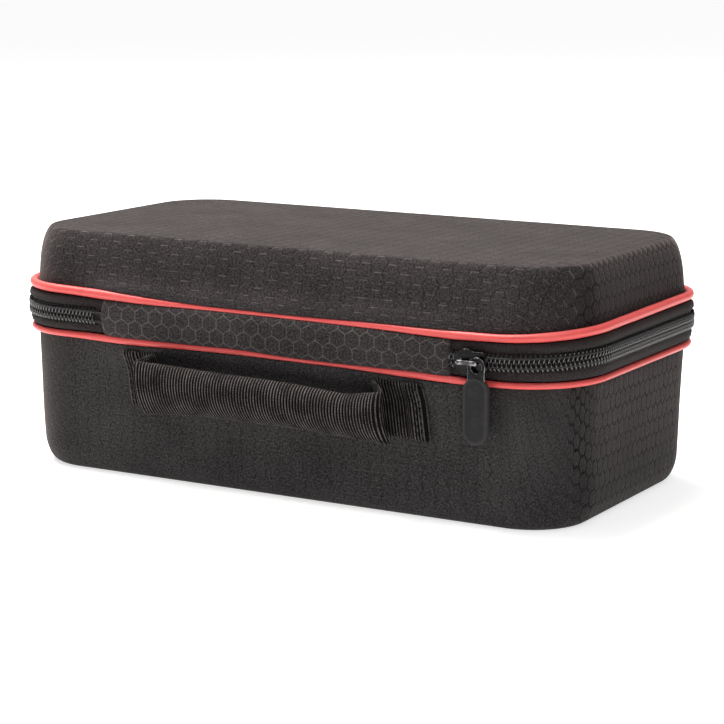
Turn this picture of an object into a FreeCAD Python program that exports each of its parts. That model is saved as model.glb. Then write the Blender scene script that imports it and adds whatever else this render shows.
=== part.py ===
import FreeCAD, Part
import math
import os

# Hard carrying case for a games console: two moulded shells that open like a book
# on a sewn fabric hinge, closed by a coil zip that runs round the other three sides.
# Frame: +X to the right along the length, -Y the side with the hinge and the handle,
# +Z up, origin at the middle of the underside. Lengths are in millimetres.

V = FreeCAD.Vector
ORIGIN = V(0, 0, 0)
X_AXIS = V(1, 0, 0)
Y_AXIS = V(0, 1, 0)
Z_AXIS = V(0, 0, 1)

# Shells: the plan is that of the outside of the walls at the rims
rim_length = 318.6
rim_depth = 164.6
rim_corner = 36.0
wall = 3.0
base_height = 72.5
rim_gap = 17.6
lid_height = 34.3
base_taper = 1.9
base_round_height = 14.0
base_round_inset = 8.0
lid_taper = 0.9
lid_round_height = 21.5
lid_round_inset = 7.5

# Piping cord along both rims
piping_radius = 2.2

# Zip: tape, coil and the overlap under the ends of the hinge band. The slack zip hangs
# a little below the middle of the gap, and each turn of the coil shows as one tooth.
zip_sag = 0.7
tape_thickness = 0.8
tape_stand = 1.2
tape_seam_width = 3.6
tape_curl = 1.2
coil_thickness = 2.6
coil_width = 7.4
coil_split = 0.3
coil_root = 1.1
tooth_pitch = 2.15
tooth_foot = 1.3
tooth_crest = 0.7
tape_tuck = 6.0
chain_end_angle = 16.0

# Hinge band between the rims on the handle side, with its ends set back from the corners
band_left_setback = 24.3
band_right_setback = 20.3
band_thickness = 2.0
band_hem = 0.8
band_bulge = 0.6
band_rim_clearance = 0.05
band_tape_clearance = 0.6

# Slider, its pull and the rubber grip
slider_length = 16.6
slider_height = 12.0
slider_shoulder_round = 4.0
slider_start_gap = 0.4
slider_plate = 1.2
slider_under_plate = 0.9
slider_clearance = 0.15
slider_rail = 1.0
slider_tail_round = 2.5
slider_edge_round = 0.4
slider_under_margin = 0.5
slider_neck_length = 3.2
slider_neck_height = 2.0
bridge_length = 11.0
bridge_width = 2.2
bridge_bar = 1.3
bridge_post = 1.7
bridge_round = 1.05
bridge_edge_round = 0.4
pull_thickness = 1.3
pull_lift = 1.0
pull_ring_inner = 2.9
pull_ring_outer = 4.6
pull_play = 0.25
pull_neck_width = 8.6
pull_neck_length = 12.0
grip_length = 31.5
grip_width = 12.8
grip_thickness = 3.2
grip_round = 6.3
grip_edge_round = 0.8
grip_drop = 4.8

# Carrying handle of folded webbing
handle_centre_x = 1.0
handle_below_rim = 19.3
webbing_width = 28.0
webbing_thickness = 1.8
handle_half_span = 87.0
handle_tab = 22.5
handle_splay = 6.0
handle_reach = 22.0
handle_root_bend = 2.6
handle_crease_bend = 3.6
hem_length = 11.0
hem_gap = 0.3
hem_fold = 0.1

# Inside the base: padded dividers that stand on the floor
divider_height = 48.0
divider_thickness = 7.0
divider_clearance = 0.3
divider_edge = 2.0
long_divider_y = 10.0
cross_divider_x = 52.0

# Inside the lid: net pocket with an elastic top edge
net_above_rim = 5.5
net_thickness = 1.0
net_clearance = 0.2
pocket_mouth = 30.0
binding_width = 9.0
binding_thickness = 2.4
binding_round = 0.8

SMOOTH = math.sqrt(0.5)
NEAR = 0.01
lid_rim_z = base_height + rim_gap
case_height = lid_rim_z + lid_height
gap_middle_z = base_height + rim_gap / 2
zip_z = gap_middle_z - zip_sag
tape_out = tape_stand + tape_thickness
coil_out = tape_out + coil_thickness
near_wall_y = -rim_depth / 2
half_x = rim_length / 2 - rim_corner
half_y = rim_depth / 2 - rim_corner
band_left = band_left_setback - half_x
band_right = half_x - band_right_setback
slider_centre_x = band_right + slider_start_gap + slider_length / 2
slider_tail_height = coil_width + 2 * (slider_rail + slider_clearance)
slider_upper_out = coil_out + slider_clearance
pull_hole_height = pull_thickness + 2 * slider_clearance + pull_lift
pull_pivot_x = slider_centre_x + bridge_length / 2 - bridge_post / 2
pull_out = slider_upper_out + slider_plate + slider_clearance + pull_lift
pull_ring_z = zip_z + bridge_post / 2 + pull_play - pull_ring_inner
handle_root = handle_half_span - handle_tab
handle_crease = handle_root + handle_splay
handle_centre_z = base_height - handle_below_rim
net_level = lid_rim_z + net_above_rim


def line(start, end):
    return Part.makeLine(V(start[0], 0, start[1]), V(end[0], 0, end[1]))


def bend(start, corner, end):
    """A quarter-ellipse-like curve from start to end, tangent to both legs of the corner."""
    curve = Part.BezierCurve()
    curve.setPoles([V(p[0], 0, p[1]) for p in (start, corner, end)])
    curve.setWeight(2, SMOOTH)
    return curve.toShape()


def outline(steps):
    """A closed face in the XZ plane. A step is a point, or (corner, point) for a bend."""
    edges = []
    last = steps[0]
    for step in steps[1:] + steps[:1]:
        if isinstance(step[0], tuple):
            edges.append(bend(last, step[0], step[1]))
            last = step[1]
        else:
            edges.append(line(last, step))
            last = step
    return Part.Face(Part.Wire(edges))


def placed(shape, angle, x, y):
    moved = shape.copy()
    moved.rotate(ORIGIN, Z_AXIS, angle)
    moved.translate(V(x, y, 0))
    return moved


def joined(pieces):
    body = pieces[0].multiFuse(pieces[1:]) if len(pieces) > 1 else pieces[0]
    return body.removeSplitter()


def corner_turn(section, x, y, start, sweep=90.0):
    """A section drawn outward from a corner's centre, turned about that centre."""
    return placed(section, start, x, y).revolve(V(x, y, 0), Z_AXIS, sweep)


def near_run(section, x_from, x_to):
    """The section carried along the hinge side."""
    return placed(section, -90, x_from, -half_y).extrude(V(x_to - x_from, 0, 0))


def far_three_sides(section):
    """The section carried along the left, far and right sides with their two corners."""
    return [
        placed(section, 0, half_x, -half_y).extrude(V(0, 2 * half_y, 0)),
        corner_turn(section, half_x, half_y, 0),
        placed(section, 90, half_x, half_y).extrude(V(-2 * half_x, 0, 0)),
        corner_turn(section, -half_x, half_y, 90),
        placed(section, 180, -half_x, half_y).extrude(V(0, -2 * half_y, 0)),
    ]


def whole_ring(section):
    pieces = far_three_sides(section)
    pieces.append(corner_turn(section, -half_x, -half_y, 180))
    pieces.append(near_run(section, -half_x, half_x))
    pieces.append(corner_turn(section, half_x, -half_y, -90))
    return joined(pieces)


def filled_round(section, low, high):
    """A section that reaches in to the corner's centre, and the flat plate it leaves inside."""
    middle = Part.makeBox(2 * half_x, 2 * half_y, high - low, V(-half_x, -half_y, low))
    return joined([whole_ring(section), middle])


# Shell profiles, measured outward from the centre of a corner
def base_outer_steps():
    """From the middle of the underside up to the rim."""
    side = rim_corner - base_taper
    slope = base_taper / (base_height - base_round_height)
    corner = side - slope * base_round_height
    return [
        (0, 0),
        (side - base_round_inset, 0),
        ((corner, 0), (side, base_round_height)),
        (rim_corner, base_height),
    ]


def base_inner_steps(clearance):
    """From the rim down to the middle of the floor."""
    inset = wall + clearance
    side = rim_corner - base_taper - inset
    slope = base_taper / (base_height - base_round_height)
    corner = side - slope * (base_round_height - inset)
    return [
        (rim_corner - inset, base_height),
        (side, base_round_height),
        ((corner, inset), (side - base_round_inset + wall, inset)),
        (0, inset),
    ]


def lid_outer_steps():
    """From the middle of the top down to the rim."""
    side = rim_corner - lid_taper
    slope = lid_taper / (lid_height - lid_round_height)
    corner = side - slope * lid_round_height
    return [
        (0, case_height),
        (side - lid_round_inset, case_height),
        ((corner, case_height), (side, case_height - lid_round_height)),
        (rim_corner, lid_rim_z),
    ]


def lid_inner_steps(clearance):
    """From the rim up to the middle of the ceiling."""
    inset = wall + clearance
    side = rim_corner - lid_taper - inset
    slope = lid_taper / (lid_height - lid_round_height)
    ceiling = case_height - inset
    corner = side - slope * (lid_round_height - inset)
    return [
        (rim_corner - inset, lid_rim_z),
        (side, case_height - lid_round_height),
        ((corner, ceiling), (side - lid_round_inset + wall / 2, ceiling)),
        (0, ceiling),
    ]


def base_shell():
    section = outline(base_outer_steps() + base_inner_steps(0))
    return filled_round(section, 0, wall)


def lid_shell():
    section = outline(lid_outer_steps() + lid_inner_steps(0))
    return filled_round(section, case_height - wall, case_height)


# Rings along the rims
def piping(seam_z):
    centre = V(rim_corner + piping_radius, 0, seam_z)
    ring = Part.Wire(Part.makeCircle(piping_radius, centre, Y_AXIS))
    return whole_ring(Part.Face(ring))


def tape_section(upper):
    """Sewn flat on the rim, turned up towards the middle of the zip."""
    rim = lid_rim_z if upper else base_height
    way = -1 if upper else 1
    inner = rim_corner - wall + (wall - tape_seam_width / 2) / 2
    front = rim_corner + tape_out
    back = rim_corner + tape_stand
    edge = zip_z - way * coil_split / 2
    return outline([
        (inner, rim),
        (front - tape_curl, rim),
        ((front, rim), (front, rim + way * tape_curl)),
        (front, edge),
        (back, edge),
        (back, rim + way * tape_thickness),
        (inner, rim + way * tape_thickness),
    ])


def zipper_tape(upper):
    """From the left end of the hinge band round three sides to the end of the chain."""
    section = tape_section(upper)
    sweep = 90 - chain_end_angle
    pieces = far_three_sides(section)
    pieces.append(corner_turn(section, -half_x, -half_y, 180))
    pieces.append(near_run(section, -half_x, band_left + tape_tuck))
    pieces.append(corner_turn(section, half_x, -half_y, -sweep, sweep))
    return joined(pieces)


# Coil: the plan of the zip is a row of places, each a corner's centre line point and an
# outward angle. Between two places it runs straight or turns about a corner's centre.
def run_point(run, share, out):
    """A place part of the way along a run, a distance outward from its centre line."""
    (x, y, angle), (end_x, end_y, end_angle) = run
    turned = math.radians(angle + (end_angle - angle) * share)
    return V(x + (end_x - x) * share + out * math.cos(turned),
             y + (end_y - y) * share + out * math.sin(turned), 0)


def run_back(run, out):
    start, middle, end = [run_point(run, share, out) for share in (0, 0.5, 1)]
    turns = run[0][2] != run[1][2]
    return Part.Arc(start, middle, end).toShape() if turns else Part.makeLine(start, end)


def tooth_count(run, out):
    (x, y, angle), (end_x, end_y, end_angle) = run
    length = math.hypot(end_x - x, end_y - y) + math.radians(end_angle - angle) * out
    return max(1, round(length / tooth_pitch))


def coil_row(places, back, low, high, upper):
    """One row of the coil: a strip along the zip whose front stands out in teeth.
    The teeth of the upper row stand between those of the lower one."""
    root = rim_corner + tape_out + coil_root
    crest = rim_corner + coil_out
    slant = (tooth_foot - tooth_crest) / 2
    runs = list(zip(places, places[1:]))
    first = tooth_pitch - tooth_foot if upper else 0
    tooth = [(first, root), (first + slant, crest),
             (first + slant + tooth_crest, crest), (first + tooth_foot, root)]
    front = [run_point(runs[0], 0, root)]
    for run in runs:
        count = tooth_count(run, crest)
        for k in range(count):
            front += [run_point(run, (k + along / tooth_pitch) / count, out) for along, out in tooth]
    front.append(run_point(runs[-1], 1, root))
    front = [p for n, p in enumerate(front) if n == 0 or p.distanceToPoint(front[n - 1]) > NEAR]
    edges = Part.makePolygon(front).Edges
    edges += [run_back(run, back) for run in runs]
    edges.append(Part.makeLine(run_point(runs[0], 0, back), front[0]))
    edges.append(Part.makeLine(front[-1], run_point(runs[-1], 1, back)))
    face = Part.Face(Part.Wire(Part.__sortEdges__(edges)))
    row = face.extrude(V(0, 0, high - low))
    row.translate(V(0, 0, low))
    return row


def zipper_coil(upper):
    """From the end of the chain round three sides to the left end of the hinge band."""
    places = [
        (half_x, -half_y, chain_end_angle - 90),
        (half_x, -half_y, 0),
        (half_x, half_y, 0),
        (half_x, half_y, 90),
        (-half_x, half_y, 90),
        (-half_x, half_y, 180),
        (-half_x, -half_y, 180),
        (-half_x, -half_y, 270),
        (band_left, -half_y, 270),
    ]
    near, far = coil_split / 2, coil_width / 2
    low, high = (zip_z + near, zip_z + far) if upper else (zip_z - far, zip_z - near)
    return coil_row(places, rim_corner + tape_out, low, high, upper)


def chain_end():
    """The short closed stretch of tape and coil that the slider is parked on."""
    tape_start = band_right - tape_tuck
    coil_start = band_right + slider_start_gap
    pieces = []
    for upper in (False, True):
        tape = tape_section(upper)
        pieces.append(near_run(tape, tape_start, half_x))
        pieces.append(corner_turn(tape, half_x, -half_y, -90, chain_end_angle))
    places = [
        (coil_start, -half_y, -90),
        (half_x, -half_y, -90),
        (half_x, -half_y, chain_end_angle - 90),
    ]
    back = rim_corner + tape_stand
    pieces.append(coil_row(places, back, zip_z - coil_width / 2, zip_z, False))
    pieces.append(coil_row(places, back, zip_z, zip_z + coil_width / 2, True))
    body = joined(pieces)
    slot_end = slider_centre_x - slider_length / 2 + slider_neck_length + 2 * slider_clearance
    slot_half = slider_neck_height / 2 + slider_clearance
    slot = Part.makeBox(slot_end - tape_start, rim_corner, 2 * slot_half,
                        V(tape_start, near_wall_y - rim_corner, zip_z - slot_half))
    return body.cut(slot)


def hinge_band():
    """Foam-backed fabric: hemmed onto both rims and bulged between them."""
    low = base_height + band_rim_clearance
    high = lid_rim_z - band_rim_clearance
    back = rim_corner + tape_out + band_tape_clearance
    front = back + band_thickness
    inner = rim_corner - wall + band_hem
    turn = 2 * band_thickness
    face = outline([
        (back, low + band_hem),
        (back, low + band_hem / 2),
        ((front, low), (front, low + turn)),
        ((front + band_bulge, gap_middle_z), (front, high - turn)),
        ((front, high), (back, high - band_hem / 2)),
        (back, high - band_hem),
    ])
    lower_hem = outline([
        (inner, low),
        (back, low),
        (back, low + band_hem),
        (inner, low + band_hem),
    ])
    upper_hem = outline([
        (inner, high - band_hem),
        (back, high - band_hem),
        (back, high),
        (inner, high),
    ])
    hem_from = band_left + tape_tuck + band_hem
    hem_to = band_right - tape_tuck - band_hem
    pieces = [near_run(face, band_left, band_right)]
    pieces += [near_run(hem, hem_from, hem_to) for hem in (lower_hem, upper_hem)]
    return joined(pieces)


# Slider and pull: drawn flat, X along the case, Y up the case, Z away from the wall
def stood_up(shape, x, z, out):
    """From the flat drawing to the hinge side, a distance out from its wall."""
    moved = shape.copy()
    moved.rotate(ORIGIN, X_AXIS, 90)
    moved.translate(V(x, near_wall_y - out, z))
    return moved


def upright_edges(plate):
    return [e for e in plate.Edges if abs(e.tangentAt(e.FirstParameter).z) > 1 - NEAR]


def edges_at(plate, level):
    """The edges that lie flat at one level of a plate drawn flat."""
    return [e for e in plate.Edges
            if abs(e.BoundBox.ZMin - level) < NEAR and abs(e.BoundBox.ZMax - level) < NEAR]


def rounded_plate(length, height, thickness, radius):
    plate = Part.makeBox(length, height, thickness, V(-length / 2, -height / 2, 0))
    return plate.makeFillet(radius, upright_edges(plate))


def slider_plate_shape(length, head_height, tail_height, thickness):
    """Shield form: a round crown that narrows over its shoulders to where the chain leaves."""
    nose = head_height / 2
    plate = Part.makeBox(length - nose, tail_height, thickness, V(nose - length / 2, -tail_height / 2, 0))
    head = Part.makeCylinder(nose, thickness, V(nose - length / 2, 0, 0))
    body = plate.fuse(head).removeSplitter()
    tail = [e for e in upright_edges(body) if e.Vertexes[0].X > length / 2 - NEAR]
    shoulders = [e for e in upright_edges(body) if e.Vertexes[0].X < length / 2 - NEAR
                 and abs(abs(e.Vertexes[0].Y) - tail_height / 2) < NEAR]
    return body.makeFillet(slider_tail_round, tail).makeFillet(slider_shoulder_round, shoulders)


def on_slider(shape, out):
    return stood_up(shape, slider_centre_x, zip_z, out)


def zipper_slider():
    upper = slider_plate_shape(slider_length, slider_height, slider_tail_height, slider_plate)
    upper = upper.makeFillet(slider_edge_round, edges_at(upper, slider_plate))
    under_out = tape_stand - slider_clearance - slider_under_plate
    less = 2 * slider_under_margin
    under = slider_plate_shape(slider_length - less, slider_height - less, slider_tail_height - less,
                               slider_under_plate)
    rail_depth = slider_upper_out - tape_out - slider_clearance
    rail_length = slider_length - slider_height / 2 - slider_tail_round
    rails = []
    for side in (-1, 1):
        rail_y = side * (slider_tail_height - slider_rail) / 2 - slider_rail / 2
        rail = Part.makeBox(rail_length, slider_rail, rail_depth,
                            V(slider_height / 2 - slider_length / 2, rail_y, -rail_depth))
        rails.append(on_slider(rail, slider_upper_out))
    neck_depth = slider_upper_out - under_out
    neck = Part.makeBox(slider_neck_length, slider_neck_height, neck_depth,
                        V(-slider_length / 2 + slider_clearance, -slider_neck_height / 2, 0))
    posts = []
    for side in (-1, 1):
        post_x = side * (bridge_length / 2 - bridge_post / 2)
        post = Part.makeCylinder(bridge_post / 2, pull_hole_height + bridge_bar / 2, V(post_x, 0, 0))
        posts.append(on_slider(post, slider_upper_out + slider_plate))
    bar = rounded_plate(bridge_length, bridge_width, bridge_bar, bridge_round)
    bar = bar.makeFillet(bridge_edge_round, edges_at(bar, bridge_bar))
    pieces = [
        on_slider(upper, slider_upper_out),
        on_slider(under, under_out),
        on_slider(neck, under_out),
        on_slider(bar, slider_upper_out + slider_plate + pull_hole_height),
    ]
    return joined(pieces + rails + posts)


def slider_puller():
    """A flat ring round the bridge's post with a neck that runs down into the grip."""
    ring = Part.makeCylinder(pull_ring_outer, pull_thickness)
    neck_half = pull_neck_width / 2
    neck = Part.makeBox(pull_neck_width, pull_neck_length, pull_thickness,
                        V(-neck_half, -pull_neck_length, 0))
    hole = Part.makeCylinder(pull_ring_inner, pull_thickness)
    plate = ring.fuse(neck).removeSplitter().cut(hole)
    return stood_up(plate, pull_pivot_x, pull_ring_z, pull_out)


def rubber_pull():
    """A flat grip with round ends, moulded over the end of the neck."""
    body = rounded_plate(grip_width, grip_length, grip_thickness, grip_round)
    rims = edges_at(body, 0) + edges_at(body, grip_thickness)
    body = body.makeFillet(grip_edge_round, rims)
    body.translate(V(0, -grip_length / 2 - grip_drop, 0))
    back = pull_out + pull_thickness / 2 - grip_thickness / 2
    return stood_up(body, pull_pivot_x, pull_ring_z, back).cut(slider_puller())


# Handle: a path in plan, thickened to a strip of webbing
def strip(points, radii, thickness):
    """A strip along a path of straight runs, its turns rounded to the given radii."""
    def side_points(offset):
        shifted = []
        for index, point in enumerate(points):
            normals = []
            for a, b in ((index - 1, index), (index, index + 1)):
                if 0 <= a and b < len(points):
                    run = V(points[b][0] - points[a][0], points[b][1] - points[a][1], 0)
                    run.normalize()
                    normals.append(V(-run.y, run.x, 0))
            total = normals[0] + normals[-1]
            scale = 2 * offset / total.dot(total)
            shifted.append(V(point[0], point[1], 0) + total * scale)
        return shifted

    def rounded_side(offset):
        shifted = side_points(offset)
        edges = []
        last = shifted[0]
        for index in range(1, len(shifted) - 1):
            here = shifted[index]
            back = (shifted[index - 1] - here).normalize()
            ahead = (shifted[index + 1] - here).normalize()
            turn_left = (-back.x * ahead.y + back.y * ahead.x) > 0
            radius = radii[index - 1] - (offset if turn_left else -offset)
            half = back.getAngle(ahead) / 2
            reach = radius / math.tan(half)
            start = here + back * reach
            end = here + ahead * reach
            bisector = (back + ahead).normalize()
            middle = here + bisector * (radius / math.sin(half) - radius)
            edges.append(Part.makeLine(last, start))
            edges.append(Part.Arc(start, middle, end).toShape())
            last = end
        edges.append(Part.makeLine(last, shifted[-1]))
        return edges, shifted[0], shifted[-1]

    left, left_start, left_end = rounded_side(thickness / 2)
    right, right_start, right_end = rounded_side(-thickness / 2)
    caps = [Part.makeLine(left_end, right_end), Part.makeLine(right_start, left_start)]
    return Part.Face(Part.Wire(Part.__sortEdges__(left + right + caps)))


def handle_strap():
    """Webbing sewn flat at both ends, folded back on itself and led across as a grip."""
    flat = webbing_thickness / 2
    hem = flat + webbing_thickness + hem_gap
    half = [
        (handle_half_span - hem_length, flat),
        (handle_half_span, flat),
        (handle_half_span, hem),
        (handle_half_span - hem_length, hem),
        (handle_half_span - hem_length - 2 * webbing_thickness, flat),
        (handle_root, flat),
        (handle_crease, handle_reach - flat),
    ]
    path = half + [(-x, out) for x, out in reversed(half)]
    fold = flat + hem_fold
    half_radii = [fold, fold, webbing_thickness, webbing_thickness, handle_root_bend, handle_crease_bend]
    face = strip([(x, -out) for x, out in path], half_radii + half_radii[::-1], webbing_thickness)
    strap = face.extrude(V(0, 0, webbing_width))
    strap.translate(V(handle_centre_x, 0, -webbing_width / 2))
    slope = base_taper / (base_height - base_round_height)
    tilt = math.degrees(math.atan(slope))
    strap.rotate(ORIGIN, X_AXIS, tilt)
    wall_y = near_wall_y + slope * (base_height - handle_centre_z)
    strap.translate(V(0, wall_y, handle_centre_z))
    return strap


# Padded dividers, cut to the inside of the base
def base_cavity():
    steps = [(0, base_height)] + base_inner_steps(divider_clearance)
    floor = wall + divider_clearance
    return filled_round(outline(steps), floor, base_height)


def soft_panel(length, thickness, x, y, along_x):
    """An upright panel with rolled top edges, as long as the case allows."""
    floor = wall + divider_clearance
    size = (length, thickness) if along_x else (thickness, length)
    panel = Part.makeBox(size[0], size[1], divider_height, V(x - size[0] / 2, y - size[1] / 2, floor))
    return panel.makeFillet(divider_edge, edges_at(panel, floor + divider_height))


def long_divider():
    panel = soft_panel(rim_length, divider_thickness, 0, long_divider_y, True)
    return panel.common(base_cavity())


def cross_divider(x):
    start = near_wall_y
    end = long_divider_y - divider_thickness / 2 - divider_clearance
    panel = soft_panel(end - start, divider_thickness, x, (start + end) / 2, False)
    return panel.common(base_cavity())


# Net pocket, cut to the inside of the lid
def lid_cavity():
    steps = lid_inner_steps(net_clearance) + [(0, lid_rim_z)]
    return filled_round(outline(steps), lid_rim_z, case_height - wall - net_clearance)


def lid_pocket_net():
    """A taut sheet from the hinge side to its free edge in front of the far wall."""
    sheet = Part.makeBox(rim_length, rim_depth - pocket_mouth, net_thickness,
                         V(-rim_length / 2, -rim_depth / 2, net_level))
    return sheet.common(lid_cavity())


def pocket_binding():
    """Elastic tape folded over the free edge of the net."""
    edge_y = rim_depth / 2 - pocket_mouth
    low = net_level + net_thickness / 2 - binding_thickness / 2
    body = Part.makeBox(rim_length, binding_width, binding_thickness,
                        V(-rim_length / 2, edge_y - binding_width / 2, low))
    body = body.makeFillet(binding_round, [e for e in body.Edges if e.Length > rim_length - NEAR])
    return body.common(lid_cavity()).cut(lid_pocket_net())


def write(name, shape):
    solid = shape.Solids[0] if len(shape.Solids) == 1 else Part.makeCompound(shape.Solids)
    solid.exportStep(os.path.join("parts", name + ".step"))
    box = solid.BoundBox
    print(name, len(shape.Solids), solid.isValid(), round(solid.Volume),
          [round(v, 1) for v in (box.XMin, box.YMin, box.ZMin, box.XMax, box.YMax, box.ZMax)])


def main():
    os.makedirs("parts", exist_ok=True)
    write("base_shell", base_shell())
    write("lid_shell", lid_shell())
    write("base_piping", piping(base_height - piping_radius))
    write("lid_piping", piping(lid_rim_z + piping_radius))
    write("base_zipper_tape", zipper_tape(False))
    write("lid_zipper_tape", zipper_tape(True))
    write("base_zipper_coil", zipper_coil(False))
    write("lid_zipper_coil", zipper_coil(True))
    write("zipper_chain_end", chain_end())
    write("hinge_band", hinge_band())
    write("zipper_slider", zipper_slider())
    write("slider_puller", slider_puller())
    write("rubber_pull", rubber_pull())
    write("handle_strap", handle_strap())
    write("long_divider", long_divider())
    write("cross_divider_left", cross_divider(-cross_divider_x))
    write("cross_divider_right", cross_divider(cross_divider_x))
    write("lid_pocket_net", lid_pocket_net())
    write("pocket_binding", pocket_binding())


main()
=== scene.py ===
from math import (acos, atan2, ceil, copysign, cos, dist, exp, hypot, pi, radians, sin, sqrt,
                  tan)

import bpy
import numpy as np
from mathutils import Euler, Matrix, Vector, noise


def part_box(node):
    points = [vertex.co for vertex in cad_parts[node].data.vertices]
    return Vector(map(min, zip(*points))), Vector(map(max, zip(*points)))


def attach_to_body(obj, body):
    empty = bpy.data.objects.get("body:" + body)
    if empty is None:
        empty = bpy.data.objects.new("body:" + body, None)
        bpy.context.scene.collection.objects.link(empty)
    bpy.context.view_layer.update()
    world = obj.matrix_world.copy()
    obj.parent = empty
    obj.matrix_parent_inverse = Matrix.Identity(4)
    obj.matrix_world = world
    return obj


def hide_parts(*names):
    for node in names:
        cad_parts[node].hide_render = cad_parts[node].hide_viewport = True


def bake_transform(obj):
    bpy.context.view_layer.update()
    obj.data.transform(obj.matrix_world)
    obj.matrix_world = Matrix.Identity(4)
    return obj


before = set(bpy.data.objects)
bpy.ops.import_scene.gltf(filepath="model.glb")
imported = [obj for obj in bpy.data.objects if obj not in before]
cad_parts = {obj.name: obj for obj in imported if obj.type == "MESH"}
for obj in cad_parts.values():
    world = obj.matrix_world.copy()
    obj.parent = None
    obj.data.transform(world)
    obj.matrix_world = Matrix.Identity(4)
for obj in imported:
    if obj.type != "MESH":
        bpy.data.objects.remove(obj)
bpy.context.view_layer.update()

# All sizes below are in millimetres and become metres when a mesh is made.
MM = 0.001


def solid_box(node):
    """Lowest and highest corner of a solid, in millimetres."""
    return [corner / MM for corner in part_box(node)]


# Camera, fitted to the case's outline in the photograph. Its turn is in degrees.
CAMERA_PLACE = (588.94, -1010.44, 277.75)
CAMERA_TURN = (79.229, -0.133, 30.106)
CAMERA_LENS = 114.45
SENSOR = 36.0

# Plan and levels of the case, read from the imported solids
base_high = solid_box("base_shell")[1]
lid_low, lid_high = solid_box("lid_shell")
RIM_CORNER = 36.0
HALF_X = base_high.x - RIM_CORNER
HALF_Y = base_high.y - RIM_CORNER
CORNERS = ((HALF_X, -HALF_Y), (HALF_X, HALF_Y), (-HALF_X, HALF_Y), (-HALF_X, -HALF_Y))
BASE_RIM = base_high.z
LID_RIM = lid_low.z
TOP = lid_high.z
WALL = 3.0
BASE_TAPER = 1.9
BASE_ROUND = 14.0
BASE_ROUND_INSET = 8.0
LID_TAPER = 0.9
LID_ROUND = 21.5
LID_ROUND_INSET = 7.5
NEAR_WALL = -base_high.y
CURVE_WEIGHT = sqrt(0.5)
# How much the cloth's pattern is squeezed along the ends
END_SQUEEZE = 1.45

# Hinge side
BAND_LEFT = solid_box("hinge_band")[0].x
BAND_RIGHT = solid_box("hinge_band")[1].x - 2.8
BAND_HALF = 9.75

# Piping and zip. A line gives (place along the loop, height of its middle, width that shows).
# Places are measured from the middle of the hinge side, plus to the right.
TAPE_OUT = 2.0
COIL_PITCH = 2.15
COIL_HALF = 3.7
COIL_THREAD = 0.46
TEETH_END = BAND_LEFT - 4.0
CHAIN_END = radians(-90 + 16) + 1e-6
UPPER_LINE = ((-458, 95, 4.4), (-125, 95, 4.3), (-98, 94.1, 4), (-70, 92.9, 3),
              (-40, 92.4, 1.4), (20, 92.1, 1.2), (62, 92.2, 2.3), (95, 91.6, 3.1),
              (125, 92, 3.7), (150, 93.6, 4.3), (172, 95.1, 4.4), (276, 96.1, 4.4),
              (340, 95.3, 4.4), (458, 95, 4.4))
LOWER_LINE = ((-458, 71.5, 3.6), (-178, 71.8, 3.3), (-120, 72.2, 3.3), (-85, 71.6, 2.8),
              (-40, 72.2, 2.1), (-15, 72.5, 2.2), (10, 71.7, 1.3), (40, 71.5, 1.2),
              (75, 71.1, 2.6), (115, 70.4, 2.9), (150, 70.8, 3), (178, 71.2, 3),
              (340, 71.4, 3.4), (458, 71.5, 3.6))
ZIP_LINE = ((-458, 83.2), (-178, 83.1), (-125, 82.9), (-98, 82.6), (98, 80.6), (122, 80.6),
            (150, 81.9), (174, 83.15), (276, 83.5), (458, 83.2))


def lerp(a, b, t):
    return a + (b - a) * t


def between(a, b, t):
    return [lerp(x, y, t) for x, y in zip(a, b)]


def facing(degrees):
    angle = radians(degrees)
    return cos(angle), sin(angle)


def ease(a, b, value):
    t = min(1.0, max(0.0, (value - a) / (b - a)))
    return t * t * (3 - 2 * t)


def run_lengths(points):
    """How far along a line each of its points is."""
    found = [0.0]
    for a, b in zip(points, points[1:]):
        found.append(found[-1] + dist(a, b))
    return found


def locate(runs, length):
    """Which stretch of a line a length falls in, and how far into it."""
    stretch = min(max(int(np.searchsorted(runs, length)) - 1, 0), len(runs) - 2)
    return stretch, length - runs[stretch]


def circle(count, start=0.0):
    """Cosines and sines at even steps round a circle."""
    angles = [start + 2 * pi * k / count for k in range(count)]
    return [(cos(a), sin(a)) for a in angles]


def unit(vector):
    return vector / np.linalg.norm(vector)


def around(station, ring):
    """Places beside a station, from distances out from its corner's centre and heights."""
    bx, by, nx, ny = station[:4]
    return [(bx + out * nx, by + out * ny, z) for out, z in ring]


def loop_distance(station):
    """How far along the zip's loop a place of the plan is."""
    bx, by, nx, ny = station[:4]
    side = 1 if bx > 0 else -1
    turned = atan2(abs(nx), -ny)
    rest = HALF_X - abs(bx)
    arc = (RIM_CORNER + TAPE_OUT) * turned
    return side * (HALF_X + arc + by + HALF_Y + (rest if ny > 0 else -rest))


def line_at(line, s):
    """What a line gives at a place, with its corners rounded."""
    columns = np.array(line).T
    spread = s + np.array((-9, -4.5, 0, 4.5, 9))
    return [float(np.interp(spread, columns[0], column).mean()) for column in columns[1:]]


def covered(s):
    """How much the walls stand out over the piping along the hinge, from 0 to 1."""
    return ease(-125, -85, s) * (1 - ease(95, 125, s))


def seam_at(away, s):
    """The cord's height and radius, then the wall's edge outside and behind it. away: +1 on the lid."""
    centre, width = line_at(UPPER_LINE if away > 0 else LOWER_LINE, s)
    full = covered(s)
    radius = width / 2 + 0.45 * full
    behind = centre - away * radius
    return centre, radius, lerp(behind, centre + away * width / 2, full), behind


def zip_height(s):
    return line_at(ZIP_LINE, s)[0]


# Meshes
def new_object(name, data):
    obj = bpy.data.objects.new(name, data)
    bpy.context.scene.collection.objects.link(obj)
    return obj


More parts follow.
